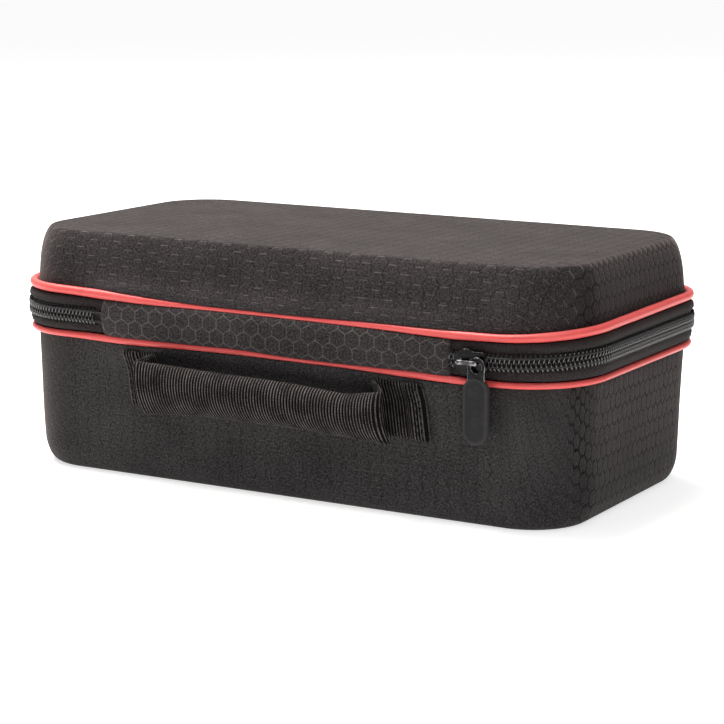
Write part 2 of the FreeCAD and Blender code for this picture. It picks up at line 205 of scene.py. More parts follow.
def finish_mesh(name, verts, faces, corner_uv, material, smooth=True):
    mesh = bpy.data.meshes.new(name)
    mesh.from_pydata((np.asarray(verts, float) * MM).tolist(), [], faces)
    if corner_uv is not None:
        layer = mesh.uv_layers.new(name="sheet")
        layer.data.foreach_set("uv", np.asarray(corner_uv, np.float32).ravel())
    mesh.polygons.foreach_set("use_smooth", [smooth] * len(mesh.polygons))
    for each in material if isinstance(material, list) else [material]:
        mesh.materials.append(each)
    mesh.validate()
    mesh.update()
    return new_object(name, mesh)


def grid_faces(rows, cols, wrap_rows=False, wrap_cols=False):
    """Quads over a grid of points, as vertex numbers and as unwrapped (row, column) corners."""
    i, j = np.meshgrid(np.arange(rows if wrap_rows else rows - 1),
                       np.arange(cols if wrap_cols else cols - 1), indexing="ij")
    i, j = i.ravel(), j.ravel()
    steps = ((0, 0), (0, 1), (1, 1), (1, 0))
    corners = np.stack([np.stack([i + di, j + dj], 1) for di, dj in steps], 1)
    numbers = (corners[..., 0] % rows) * cols + corners[..., 1] % cols
    return numbers, corners


def grid_piece(name, points, uv, material, wrap_rows=False, wrap_cols=True):
    """A surface over rows of points, closed at its ends unless the rows wrap.

    uv has a row or column more where the grid wraps.
    """
    points = np.asarray(points, float)
    rows, cols = points.shape[:2]
    numbers, corners = grid_faces(rows, cols, wrap_rows, wrap_cols)
    faces = numbers.tolist()
    uv = np.asarray(uv, float)
    corner_uv = uv[corners[..., 0], corners[..., 1]].reshape(-1, 2).tolist()
    for row in () if wrap_rows else (0, rows - 1):
        ring = [row * cols + j for j in range(cols)]
        order = ring if row else ring[::-1]
        faces.append(order)
        corner_uv += [list(uv[row, number % cols]) for number in order]
    obj = finish_mesh(name, points.reshape(-1, 3), faces, corner_uv, material)
    if not wrap_rows:
        for cap in obj.data.polygons[-2:]:
            cap.use_smooth = False
    return obj


def bend_points(start, corner, end, count):
    """Points on the same rounded curve that the solids use, without its start."""
    t = np.arange(1, count + 1)[:, None] / count
    weights = (1 - t) ** 2, 2 * t * (1 - t) * CURVE_WEIGHT, t * t
    parts = [weight * np.array(spot) for weight, spot in zip(weights, (start, corner, end))]
    return (sum(parts) / sum(weights)).tolist()


def plan_stations(near_step=3.0, corner_steps=20, far_steps=16, end_steps=8):
    """Points round the inner rectangle of the plan with their outward directions."""
    near_steps = int(2 * HALF_X / near_step)
    stations = [(lerp(-HALF_X, HALF_X, k / near_steps), -HALF_Y, 0.0, -1.0)
                for k in range(near_steps)]
    for k, steps in enumerate((end_steps, far_steps, end_steps, 0)):
        stations += [(*CORNERS[k], *facing(90 * (k - 1 + n / corner_steps)))
                     for n in range(corner_steps)]
        stations += [(*between(CORNERS[k], CORNERS[k + 1], n / steps), *facing(90 * k))
                     for n in range(steps)]
    return stations


# Materials
def operation(name, swapped=False):
    """A method that adds a node for numbers or for vectors."""
    def apply(self, other=None):
        values = (other, self) if swapped else (self, other)
        kind = self.tree.math if self.socket.type == "VALUE" else self.tree.vector
        return kind(name, *[value for value in values if value is not None])
    return apply


class Value:
    """A node's output. An operator on it adds a math node."""

    __add__ = __radd__ = operation("ADD")
    __sub__ = operation("SUBTRACT")
    __rsub__ = operation("SUBTRACT", True)
    __mul__ = __rmul__ = operation("MULTIPLY")
    __abs__ = operation("ABSOLUTE")

    def __init__(self, tree, socket):
        self.tree = tree
        self.socket = socket


class Nodes:
    """Short ways to add nodes."""

    def __init__(self, tree):
        self.nodes = tree.nodes
        self.links = tree.links

    def give(self, socket, value):
        if isinstance(value, Value):
            self.links.new(value.socket, socket)
        else:
            socket.default_value = value

    def add(self, kind, inputs, output=0, **props):
        node = self.nodes.new("ShaderNode" + kind)
        for key, value in props.items():
            setattr(node, key, value)
        for key, value in inputs.items():
            self.give(node.inputs[key], value)
        return Value(self, node.outputs[output])

    def math(self, name, *values):
        return self.add("Math", dict(enumerate(values)), operation=name)

    def vector(self, name, *values, output=0):
        return self.add("VectorMath", dict(enumerate(values)), output, operation=name)

    def length(self, vector):
        return self.vector("LENGTH", vector, output=1)

    def parts(self, vector):
        node = self.add("SeparateXYZ", {0: vector}).socket.node
        return [Value(self, socket) for socket in node.outputs]

    def noise(self, size, detail=3.0, roughness=0.6, place=None):
        """Noise from 0 to 1 with features of about this size."""
        return self.add("TexNoise", {"Vector": place or self.place, "Scale": 1 / size,
                                     "Detail": detail, "Roughness": roughness})

    def ramp(self, value, low, high, start=0.0, end=1.0):
        return self.add("MapRange", {0: value, 1: low, 2: high, 3: start, 4: end},
                        interpolation_type="SMOOTHSTEP")

    def mix(self, factor, a, b):
        a, b = [(*color, 1) if isinstance(color, tuple) else color for color in (a, b)]
        return self.add("Mix", {0: factor, 6: a, 7: b}, 2, data_type="RGBA")

    def shades(self, value, low, high, dark, light):
        """A colour between two, by where a value lies."""
        return self.mix(self.ramp(value, low, high), dark, light)

    def wave(self, along, pitch, phase=0.0):
        """A sine from 0 to 1 with this pitch."""
        return self.math("SINE", along * (2 * pi / pitch) + phase) * 0.5 + 0.5

    def hexagons(self, place, width, flat_top):
        """Distances to the flat and to the slanted edges of a honeycomb, this wide across flats."""
        u, v, _ = self.parts(place)
        pair = self.add("CombineXYZ", {0: v if flat_top else u, 1: u if flat_top else v})
        root = sqrt(3)
        scaled = self.vector("DIVIDE", pair, (width, width * root, 1))
        cells = [(self.vector("FRACTION", scaled - (shift, shift, 0)) - (0.5, 0.5, 0)) * (1, root, 0)
                 for shift in (0.0, 0.5)]
        second = self.math("LESS_THAN", self.length(cells[1]), self.length(cells[0]))
        nearest = self.add("Mix", {0: second, 4: cells[0], 5: cells[1]}, 1,
                           data_type="VECTOR")
        x, y, _ = self.parts(abs(nearest))
        return [value * -width + width / 2 for value in (x, y * (root / 2) + x * 0.5)]

    def rounded(self, radius):
        """Normals as if edges were rounded this much, and how near an edge a place is, 0 to 1."""
        soft = self.add("Bevel", {"Radius": radius * MM}, samples=6)
        plain = self.add("NewGeometry", {}, 3)
        agree = self.vector("DOT_PRODUCT", soft, plain, output=1)
        return soft, self.ramp(agree, 0.86, 0.99, 1.0, 0.0)


class Finish(Nodes):
    """A material on the principled shader. sheen is (weight, roughness).

    Its place, in millimetres, is on the sheet, from the mesh, or else in the frame.
    """

    def __init__(self, name, color, roughness, metallic=0.0, specular=0.5, sheen=(0.0, 0.5),
                 sheen_tint=(1, 1, 1), in_frame=False):
        self.material = bpy.data.materials.new(name)
        self.material.use_nodes = True
        super().__init__(self.material.node_tree)
        if in_frame:
            self.place = self.add("TexCoord", {}, 3) * (1 / MM, 1 / MM, 1 / MM)
        else:
            self.place = self.add("UVMap", {}, uv_map="sheet")
        self.set({"Base Color": (*color, 1), "Roughness": roughness, "Metallic": metallic,
                  "Specular IOR Level": specular, "Sheen Weight": sheen[0],
                  "Sheen Roughness": sheen[1], "Sheen Tint": (*sheen_tint, 1)})

    def set(self, values):
        for name, value in values.items():
            self.give(self.nodes["Principled BSDF"].inputs[name], value)

    def done(self, color, height, depth, strength, below=None):
        """The material, with what varies on it. A height of one stands up by depth millimetres."""
        inputs = {"Height": height, "Distance": depth * MM, "Strength": strength}
        if below is not None:
            inputs["Normal"] = below
        self.set({"Base Color": color, "Normal": self.add("Bump", inputs)})
        return self.material


def grey(level, tint=(1, 1, 1)):
    return tuple(level * channel for channel in tint)


CLOTH_DARK, CLOTH_LIGHT = 0.005, 0.074
END_LINE_PAINTED_SHADE = (0.002, 0.0018, 0.0018)


def jacquard(name, width, on_shell, tint, flat_line, slanted_line, painted_end_shade=0.0):
    """Cloth with a honeycomb drawn by its weave. A line is (brightness, share at its strongest).

    On a shell the flat edges run along the hinge side, and their light level there is a painted
    highlight; on the ends all edges are dark and widened, and the cloth is darkened, as painted shade.
    On the upward faces, darker streaks are painted sheen.
    """
    dark, light = grey(CLOTH_DARK, tint), grey(CLOTH_LIGHT, tint)
    cloth = Finish(name, dark, 0.8, specular=0.07, sheen=(0.15, 0.34),
                   sheen_tint=(1.0, 0.88, 0.84))
    u, v, _ = cloth.parts(cloth.place)
    upward = cloth.ramp(cloth.parts(cloth.add("TexCoord", {}, 1))[2], 0.3, 0.9)
    wobble = cloth.add("TexNoise", {"Vector": cloth.place, "Scale": 0.6, "Detail": 1.0}, 1)
    moved = (wobble - (0.5, 0.5, 0.5)) * (0.6, 0.6, 0) + cloth.place
    grain = cloth.noise(1.05, 3.0, 0.75)
    patch = cloth.noise(38.0, 2.0)
    tone = (grain - 0.5) * 2.0 + 0.42 + (patch - 0.5) * 0.35
    color = cloth.shades(tone, 0.0, 1.0, dark, light)
    height = grain * 0.5 + cloth.wave(u, 0.62) * cloth.wave(v, 0.62, 1.0) * 0.12
    worn = cloth.ramp(cloth.noise(5.0, 2.0) + patch * 0.5, 0.5, 0.95, 0.3, 1.0)
    if on_shell:
        past_x = abs(u) - HALF_X
        past_y = abs(v) - END_SQUEEZE * HALF_Y
        end = cloth.ramp(past_x - past_y, 8.0, 30.0) * (1.0 - upward)
        # Painted shade: the cloth on the end walls is darkened for how the light falls there
        color = cloth.mix(end * painted_end_shade, color, dark)
    lines = (flat_line, slanted_line)
    for edge, (level, share) in zip(cloth.hexagons(moved, width, on_shell), lines):
        shade = grey(level, tint)
        if on_shell:
            # Painted shade: on the ends the lines are widened and darkened; the light level of the flat
            # lines elsewhere is a painted highlight
            edge = end * -0.55 + edge
            shade = cloth.mix(end, shade, END_LINE_PAINTED_SHADE)
            share = end * (1.0 - share) + share
        line = cloth.ramp(edge, 0.12, 0.42, 1.0, 0.0) * worn
        color = cloth.mix(line * share, color, shade)
        pillow = cloth.ramp(edge, 0.0, 2.2) * upward
        height = height + line * -0.6 + pillow * 0.65
    if on_shell:
        # Painted sheen: darker streaks on the upward faces stand in for the sheen's streaks at a
        # grazing angle
        painted_sheen_streak = cloth.noise(3.0, 2.0, place=cloth.place * (0.3, 1, 1))
        color = cloth.mix(upward * cloth.ramp(painted_sheen_streak, 0.35, 0.65, 0.3, 0.0), color, dark)
    return cloth.done(color, height, 0.35, 0.9)


def lining():
    """Brushed loop cloth inside the shells and over the dividers."""
    cloth = Finish("lining", (0.035, 0.035, 0.037), 0.95, specular=0.1, sheen=(0.5, 0.6))
    fluff = cloth.noise(0.8, 5.0, 0.75)
    tone = cloth.noise(12.0) * 0.5 + fluff * 0.6
    color = cloth.shades(tone, 0.25, 0.85, (0.022, 0.022, 0.024), (0.06, 0.06, 0.063))
    return cloth.done(color, fluff, 0.35, 0.9)


def piping_cloth():
    """Red piping: smooth, slightly satin, with faint folds across it."""
    cloth = Finish("piping_red", (0.90, 0.075, 0.06), 0.42, specular=0.45)
    folds = cloth.noise(2.6, 2.0, place=cloth.place * (1.0, 0.25, 1))
    wear = cloth.noise(24.0)
    color = cloth.shades(wear, 0.25, 0.8, (0.61, 0.063, 0.059), (0.69, 0.1, 0.093))
    return cloth.done(color, cloth.noise(0.35) * 0.25 + folds, 0.12, 0.7)


def twill():
    """Zip tape: fine slanted ribs."""
    cloth = Finish("zip_tape_twill", (0.02, 0.02, 0.021), 0.8, specular=0.05,
                   sheen=(0.05, 0.4))
    u, v, _ = cloth.parts(cloth.place)
    ribs = cloth.wave(u - v, 0.6) * 0.35 + cloth.wave(u + v, 0.95)
    height = cloth.noise(0.85, 3.0, 0.75) * 1.9 + (ribs * 0.45 - 0.35)
    # The colour follows the height: random grain tone, plus painted shade in the rib hollows
    color = cloth.shades(height, 0.3, 1.6, (0.0012, 0.001, 0.001), (0.064, 0.054, 0.054))
    return cloth.done(color, height, 0.22, 0.9)


def coil_plastic():
    coil = Finish("zip_coil_nylon", (0.014, 0.014, 0.015), 0.3, specular=0.85, in_frame=True)
    scuff = coil.noise(1.6)
    coil.set({"Roughness": coil.ramp(scuff, 0.2, 0.8, 0.14, 0.26)})
    color = coil.mix(scuff, grey(0.004), (0.024, 0.023, 0.023))
    return coil.done(color, coil.noise(0.4, 2.0), 0.03, 0.5)


def black_nickel(name, highlight_from, middle=0.0):
    """Black nickel with painted highlights: bright at its edges, and where it stands out further, most
    beside its middle.
    """
    metal = Finish(name, (0.05, 0.05, 0.055), 0.28, metallic=0.9, in_frame=True)
    scuff = metal.noise(2.2, 4.0, 0.65)
    soft, edge = metal.rounded(0.45)
    shade = metal.shades(scuff, 0.35, 0.8, (0.006, 0.006, 0.0065), (0.022, 0.0215, 0.0225))
    along, out, _ = metal.parts(metal.place)
    # Painted highlight patches where the metal stands out, broken up by the scuff noise
    painted_highlight_patch = metal.ramp(out * -1.0, highlight_from, highlight_from + 0.3)
    painted_highlight_patch = painted_highlight_patch * metal.ramp(scuff, 0.35, 0.6)
    painted_highlight_patch = painted_highlight_patch * metal.ramp(abs(along - middle), 1.6, 3.4, 0.25, 1.0)
    shade = metal.mix(painted_highlight_patch, shade, (0.26, 0.26, 0.265))
    # Painted highlight along the edges, varied by the scuff noise
    painted_edge_highlight = edge * metal.ramp(scuff, 0.2, 0.6, 0.5, 1.0)
    metal.set({"Roughness": metal.ramp(scuff, 0.2, 0.8, 0.18, 0.4)})
    color = metal.mix(painted_edge_highlight, shade, (0.48, 0.475, 0.475))
    return metal.done(color, metal.noise(0.5, 2.0), 0.02, 0.4, soft)


def rubber():
    """Soft rubber with a painted highlight on its edges and on a rim round its face."""
    grip = Finish("pull_rubber", (0.016, 0.016, 0.017), 0.55, specular=0.16, in_frame=True)
    dust = grip.noise(3.0, 4.0, 0.7)
    soft, edge = grip.rounded(0.8)
    low, high = solid_box("rubber_pull")
    half = (high - low) / 2
    away = abs(grip.place - tuple((low + high) / 2)) - (0, 0, half.z - half.x)
    away = grip.vector("MAXIMUM", away, (0, 0, 0)) * (1, 0, 1)
    # Painted highlight: a lighter rim round the face
    rim = grip.ramp(grip.length(away), half.x - 2.0, half.x - 0.9, 0.0, 0.2)
    edge = grip.math("MAXIMUM", edge, rim)
    shade = grip.shades(dust, 0.35, 0.85, (0.010, 0.010, 0.0105), (0.026, 0.026, 0.027))
    grip.set({"Roughness": grip.ramp(dust, 0.2, 0.8, 0.45, 0.68)})
    # The edges and rim get the painted highlight colour
    color = grip.mix(edge * 0.75, shade, (0.1, 0.1, 0.098))
    return grip.done(color, grip.noise(0.3), 0.04, 0.5, soft)


RIB_PITCH = 1.62


def webbing():
    """Ribbed webbing: painted shade, near black, between the ribs and a painted highlight on their
    crests, with the yarn's picks across them.
    """
    cloth = Finish("webbing_ribbed", (0.03, 0.03, 0.031), 0.7, specular=0.06,
                   sheen=(0.03, 0.35))
    u, v, _ = cloth.parts(cloth.place)
    rib = cloth.wave(u, RIB_PITCH, -pi / 2)
    pick = cloth.wave(v, 1.25)
    grain = cloth.noise(0.9, 3.0, 0.7)
    tone = cloth.noise(9.0) * 0.5 + grain * 0.6
    light = cloth.shades(tone, 0.35, 0.75, (0.014, 0.0125, 0.0125), (0.165, 0.145, 0.143))
    # Painted highlight on the rib crests and painted shade between them; the tone noise varies it at
    # random
    painted_crest_highlight = cloth.ramp(rib, 0.6, 0.98) * (pick * 0.35 + 0.65)
    color = cloth.mix(painted_crest_highlight, grey(0.0012), light)
    return cloth.done(color, pick * rib * 0.5 + grain, 0.16, 0.8)


def sewing_thread():
    thread = Finish("thread_black", grey(0.002), 0.6, specular=0.4, in_frame=True)
    twist = thread.noise(0.35, 2.0)
    color = thread.mix(twist, grey(0.002), grey(0.012))
    return thread.done(color, twist, 0.05, 0.7)


def elastic():
    cloth = Finish("elastic_binding", grey(0.02), 0.8, specular=0.25, sheen=(0.3, 0.5))
    u, v, _ = cloth.parts(cloth.place)
    ribs = cloth.wave(u, 1.1) * (cloth.wave(v, 0.9) * 0.5 + 0.5)
    height = cloth.noise(0.6) * 0.4 + ribs
    # The colour follows the height: painted shade in the rib hollows and painted highlight on the
    # crests, with random tone from the noise
    color = cloth.shades(height, 0.2, 1.2, grey(0.010), (0.042, 0.042, 0.043))
    return cloth.done(color, height, 0.2, 0.9)


HEX_WIDTH, BAND_HEX_WIDTH = 8.35, 8.1
# On a shell the flat line's level is a painted highlight, and the last number is the painted shade on
# the ends
LID_CLOTH = jacquard("lid_jacquard", HEX_WIDTH, True, (1.0, 0.87, 0.9),
                     (0.14, 0.5), (0.003, 0.55), 0.4)
BASE_CLOTH = jacquard("base_jacquard", HEX_WIDTH, True, (1.0, 0.94, 0.95),
                      (0.075, 0.4), (0.003, 0.5), 0.25)
BAND = jacquard("band_jacquard", BAND_HEX_WIDTH, False, (1.0, 0.9, 0.9),
                (0.12, 0.72), (0.12, 0.72))
LINING = lining()
PIPING = piping_cloth()
TWILL = twill()
COIL = coil_plastic()
SLIDER_LOW, SLIDER_HIGH = solid_box("zipper_slider")
BODY_NICKEL = black_nickel("black_nickel_slider", -SLIDER_LOW.y - 0.6,
                           (SLIDER_LOW.x + SLIDER_HIGH.x) / 2)
# Nothing of the pull stands out as far as this, so only its edges get painted highlights.
PULL_NICKEL = black_nickel("black_nickel_pull", 200.0)
RUBBER = rubber()
WEBBING = webbing()
THREAD = sewing_thread()
ELASTIC = elastic()


# Shells
# How far in from the corner's centre the flat sides stay exactly flat
FLAT = 14.0
# The last rows before a wall's edge, close together so that it turns in tightly
LIP_ROWS = (1.3, 0.8, 0.45, 0.2, 0.05, 0.0)
LIP_START = 2.4
SWELL = 3.3
UNEVEN = 0.45
SHRINK = (0.04, 0.35, 0.7)


def lip_swell(from_edge):
    """How far a wall stands out over the piping at this distance from its edge."""
    return SWELL * (1 - ease(2.2, 17, from_edge))


def unevenness(point, size, seed):
    return noise.noise(Vector((point[0] / size, point[1] / size, point[2] / size + seed)))


def dense(points, end, step):
    """A broken line with points at most a step apart added up to one more place."""
    start = points[-1]
    count = max(1, ceil(dist(start, end) / step))
    return points + [between(start, end, k / count) for k in range(1, count + 1)]


def shell_rows(flat, rim, taper, rounding, insets, bends, coarse, steps):
    """(distance from the corner's centre, height, place on the sheet, material) of each row.

    They go from the middle of the flat side out and round to the rim, then back inside.
    """
    way = copysign(1, rim - flat)
    slope = taper / (abs(rim - flat) - rounding)
    turn = flat + way * rounding
    rows = []
    for material, (depth, inset, bend) in enumerate(zip((0, WALL), insets, bends)):
        side = RIM_CORNER - taper - depth
        level = flat + way * depth
        start = (side - inset, level)
        corner = (side - slope * (rounding - depth), level)
        run = [(0.0, level), (FLAT, level), start] + bend_points(start, corner, (side, turn), bend)
        if material:
            run = dense(run, (RIM_CORNER - WALL, rim), steps[1])
        else:
            for share, step in coarse:
                run = dense(run, (lerp(side, RIM_CORNER, share), lerp(turn, rim, share)), step)
            run = dense(run, (RIM_CORNER, rim - way * LIP_START), steps[0])
            run += [(RIM_CORNER, rim - way * d) for d in LIP_ROWS]
        measured = [(*spot, length, material) for spot, length in zip(run, run_lengths(run))]
        rows += measured[::-1] if material else measured
    return rows


def shell_piece(name, cloth, rows, flat, rim, away, reach, seed):
    """One moulded shell. away is +1 where the wall rises from the rim."""
    stations = plan_stations()
    distances = [loop_distance(station) for station in stations]
    seams = [seam_at(away, s) for s in distances]
    rows = ([(t, 0.0, flat, 0.0, 0) for t in SHRINK] + [(1.0, *row) for row in rows]
            + [(t, 0.0, flat - away * WALL, 0.0, 1) for t in SHRINK[::-1]])
    points, places = [], []
    for size, radius, z, sheet, material in rows:
        line, uv = [], []
        from_edge = abs(z - rim)
        near = 1 - ease(0, reach, from_edge)
        nose = sqrt(1 - (1 - min(1.0, from_edge / LIP_ROWS[0])) ** 2)
        calm = ease(0, 8, from_edge) * ease(0, 10, abs(z - flat))
        for (bx, by, nx, ny), s, (_, _, edge, behind) in zip(stations, distances, seams):
            bx, by, out = bx * size, by * size, radius
            if material == 0:
                out += covered(s) * lip_swell(from_edge) * nose
                spot = (bx + radius * nx, by + radius * ny, z)
                out += UNEVEN * calm * unevenness(spot, 34.0, seed)
            height = z + ((behind if material else edge) - rim) * near
            line.append((bx + out * nx, by + out * ny, height))
            uv.append((bx + sheet * nx, END_SQUEEZE * by + sheet * ny))
        points.append(line)
        places.append(uv + uv[:1])
    obj = grid_piece(name, points, places, [cloth, LINING])
    index = np.repeat([row[-1] for row in rows[:-1]], len(stations)).tolist() + [0, 1]
    obj.data.polygons.foreach_set("material_index", index)
    # The flat rows meet in points at the corners, where smooth shading would break.
    smooth = np.ones(len(obj.data.polygons), bool)
    middle = 4 * len(stations)
    smooth[:middle] = smooth[-middle - 2:] = False
    obj.data.polygons.foreach_set("use_smooth", smooth)
    if away > 0:
        obj.data.flip_normals()
    return obj


# Piping
def piping_piece(name, away, seed):
    """A cord round the rim, drawn in and half covered along the hinge."""
    sides = 14
    points, places = [], []
    length = 0.0
    last = None
    stations = plan_stations(near_step=2.0, corner_steps=28, far_steps=60, end_steps=24)
    for station in stations + stations[:1]:
        s = loop_distance(station)
        centre_z, radius, _, _ = seam_at(away, s)
        radius *= 1 + 0.03 * unevenness(around(station, [(RIM_CORNER, 0)])[0], 9.0, seed)
        deep = lerp(max(radius, 1.85), radius, covered(s))
        out = RIM_CORNER + lerp(deep, 2.2, covered(s))
        centre = around(station, [(out, 0)])[0]
        length += dist(centre, last or centre)
        last = centre
        points.append(around(station, [(out + deep * c, centre_z + radius * s)
                                       for c, s in circle(sides)]))
        places.append([(length, radius * 2 * pi * k / sides) for k in range(sides + 1)])
    return grid_piece(name, points[:-1], places, PIPING, wrap_rows=True)


# Zip
def zip_stations():
    """Points along the zip from the band's right end, round the case, to its left end."""
    runs = []
    last = (BAND_RIGHT - 2.0, -HALF_Y)
    for k, corner in enumerate(CORNERS):
        runs += [(last, corner, 90 * k - 90), (corner, None, 90 * k - 90)]
        last = corner
    runs.append((last, (BAND_LEFT + 5.0, -HALF_Y), 270))
    arc = (RIM_CORNER + TAPE_OUT) * pi / 2
    ends = [0.0]
    for a, b, _ in runs:
        ends.append(ends[-1] + (arc if b is None else dist(a, b)))
    count = round(ends[-1] / COIL_PITCH)
    found = []
    for k in range(count + 1):
        s = ends[-1] * k / count
        run, left = locate(ends, s)
        a, b, angle = runs[run]
        share = left / (ends[run + 1] - ends[run])
        if b is None:
            found.append((*a, *facing(angle + 90 * share), s))
        else:
            found.append((*between(a, b, share), *facing(angle), s))
    return found


def puff(s):
    """How much the tapes stand out, from 0 beside the slider to 1."""
    return ease(135, 150, s) if s > 0 else ease(99, 125, -s)


def coil_place(station):
    """Height of the coil's middle, and how far out from the corner's centre it lies."""
    s = loop_distance(station)
    return zip_height(s), RIM_CORNER + 0.5 * puff(s)


def tape_profile(way, s):
    """(out, z) of the tape's front from the rim to the middle, then its back. way is +1 on the base."""
    p = puff(s)
    full = 2.2 - 0.35 * way
    rim = seam_at(-way, s)[3]
    middle = zip_height(s) - way * 0.15
    front = ((-1.5, 0.01), (0.6, 0.02), (1.7 + 1.0 * p, 0.08), (2.05 + (full - 0.3) * p, 0.2),
             (2.05 + full * p, 0.38), (2.0 + 1.7 * p, 0.52), (1.95 + 1.0 * p, 0.62),
             (1.95 + 0.6 * p, 1.0))
    back = ((1.15 + 0.6 * p, 1.0), (1.2, 0.14), (-1.5, 0.09))
    return [(RIM_CORNER + out, lerp(rim, middle, share)) for out, share in front + back]


def tape_piece(name, stations, way):
    points, places = [], []
    for station in stations:
        profile = tape_profile(way, loop_distance(station))
        points.append(around(station, profile))
        places.append([(station[4], way * a) for a in run_lengths(profile + profile[:1])])
    return grid_piece(name, points, places, TWILL)


def coil_turn():
    """One turn of the coil as (along, across, out) rings, from the tape's side to the middle."""
    path = [(1.2, 4.1, 1.9), (1.15, 4.15, 3.1), (0.8, 3.4, 3.95), (0.3, 2.35, 4.0),
            (0.0, 1.4, 4.15), (-0.15, 0.4, 4.1), (-0.3, -0.25, 3.5), (-0.35, -0.3, 2.6)]
    rings = []
    for k, spot in enumerate(path):
        direction = unit(np.subtract(path[min(len(path) - 1, k + 1)], path[max(0, k - 1)]))
        steep = abs(direction[2]) >= 0.9
        side = unit(np.array([0.77, -0.63, 0.0]) if steep else np.cross(direction, (0, 0, 1)))
        up = np.cross(side, direction)
        rings.append([np.array(spot) + COIL_THREAD * (c * side + s * up) for c, s in circle(6)])
    return np.array(rings)


def coil_piece(name, stations, ways):
    """Turns of the coil, one at each station. A way is -1 below the middle, 1 above."""
    turn = coil_turn()
    numbers, _ = grid_faces(*turn.shape[:2], wrap_cols=True)
    verts, faces = [], []
    for way in ways:
        shift = 0.0 if way > 0 else COIL_PITCH / 2
        for bx, by, nx, ny, _ in stations:
            middle, forward = coil_place((bx, by, nx, ny))
            quads = (numbers + len(verts)).tolist()
            faces += quads if way < 0 else [quad[::-1] for quad in quads]
            for along, across, out in turn.reshape(-1, 3):
                at, o = along + shift, forward + out
                verts.append((bx + o * nx - at * ny, by + o * ny + at * nx, middle + way * across))
    return finish_mesh(name, verts, faces, None, COIL)


def coil_strips(name, stations, ways):
    """The dark bed that the turns are woven onto, and the thread that holds them down."""
    pieces = []
    bed = [(1.9, 0.12), (2.9, 0.12), (3.1, 1.3), (2.8, COIL_HALF - 0.5), (1.9, COIL_HALF)]
    ring = circle(6)
    for word, material in (("bed", TWILL), ("seam", THREAD)):
        for way in ways:
            # Out, up and place across, round the strip and back to its start
            section = [(o, way * z, way * z) for o, z in bed + bed[:1]]
            if word == "seam":
                section = [(4.2 + 0.42 * c, way * 2.25 + 0.45 * s, n)
                           for n, (c, s) in enumerate(ring + ring[:1])]
            points, places = [], []
            for station in stations:
                middle, forward = coil_place(station)
                points.append(around(station, [(forward + o, middle + z)
                                               for o, z, _ in section[:-1]]))
                places.append([(station[4], across) for _, _, across in section])
            full_name = name + word + ("" if way == ways[0] else "_upper")
            pieces.append(grid_piece(full_name, points, places, material))
    return pieces


# Hinge band
def band_profile(x):
    """(out, z) round the band's section: the front from bottom to top, then the back."""
    end = min(ease(0, 5, x - BAND_LEFT), ease(0, 2.6, BAND_RIGHT - x))
    fold = lerp(0.55, 1.0, end)
    front = [(2.3, -BAND_HALF), (3.3, -9.4), (4.1, -8.6), (4.6, -7.0), (4.85, -4.5), (5.0, -2.0),
             (5.05, 0.0)]
    front = [(lerp(2.4, o, fold), z) for o, z in front]
    back = [(1.9, 9.2), (2.3, 7.5), (2.5, 4.0), (2.5, 0.0)]
    return (front + [(o, -z) for o, z in front[-2::-1]]
            + back + [(o, -z) for o, z in back[-2::-1]])


def hinge_band():
    count = 110
    bow_depth, bow_half = 2.7, 9.8
    points, places = [], []
    for k in range(count + 1):
        x = lerp(BAND_LEFT, BAND_RIGHT, k / count)
        low_centre, low_width = line_at(LOWER_LINE, x)
        high_centre, high_width = line_at(UPPER_LINE, x)
        bottom, top = low_centre + low_width / 2 - 0.1, high_centre - high_width / 2 + 0.1
        near_left = 1 - ease(0, 14, x - BAND_LEFT)
        profile = band_profile(x)
        profile += profile[:1]
        row, uv = [], []
        for (o, z), run in zip(profile, run_lengths(profile)):
            at_x = x + bow_depth * (z / bow_half) ** 2 * near_left
            full = 0.35 * unevenness((x, z, o), 16.0, 3.1) * ease(0, 6, bow_half - abs(z))
            height = lerp(bottom, top, (z + BAND_HALF) / (2 * BAND_HALF))
            row.append((at_x, NEAR_WALL - o - full, height))
            uv.append((at_x, run))
        points.append(row[:-1])
        places.append(uv)
    return grid_piece("band_cover", points, places, BAND)


# Handle
HANDLE_X = 2.0
HANDLE_Z = BASE_RIM - 19.3
WEB_WIDTH = 28.0
WEB_THICK = 1.8
WEB_STEP = RIB_PITCH / 8
SPAN = 84.7
HEM = 6.5
REACH = 21.1
TAB_LEAN, GRIP_LEAN = 0.11, 0.16
STITCH_PITCH, STITCH_LENGTH, STITCH_THICK = 3.1, 2.3, 0.95
# Along the grip: how far its edges curl back, in radians, and how far its middle hangs down
CURL = ((-72, 0.4), (-60, 0.75), (-33, 1.16), (16, 1.28), (49, 1.38), (64, 1.0), (74, 0.7))
HANG = ((-70, 1.0), (-33, 0.8), (16, 1.4), (49, 3.0), (72, 1.9))


def wall_at(z, swell):
    """Where the hinge-side wall is at this height of the base."""
    below = BASE_RIM - z
    return NEAR_WALL + BASE_TAPER * below / (BASE_RIM - BASE_ROUND) - swell * lip_swell(below)


def smooth_path(points, radii):
    """Points a rib's step apart along straight runs with rounded turns."""
    points = [np.array(point, float) for point in points]
    found = [points[0]]
    for last, here, after, radius in zip(points, points[1:], points[2:], radii):
        back, ahead = unit(last - here), unit(after - here)
        half = acos(max(-1, min(1, float(back @ ahead)))) / 2
        reach = radius / tan(half)
        centre = here + unit(back + ahead) * radius / sin(half)
        a0, a1 = [atan2(*(here + arm * reach - centre)[::-1]) for arm in (back, ahead)]
        turn = (a1 - a0 + pi) % (2 * pi) - pi
        for n in range(13):
            angle = a0 + turn * n / 12
            found.append(centre + radius * np.array([cos(angle), sin(angle)]))
    found.append(points[-1])
    runs = run_lengths(found)
    wanted = np.arange(0, runs[-1], WEB_STEP)
    return np.stack([np.interp(wanted, runs, column) for column in np.array(found).T], 1)


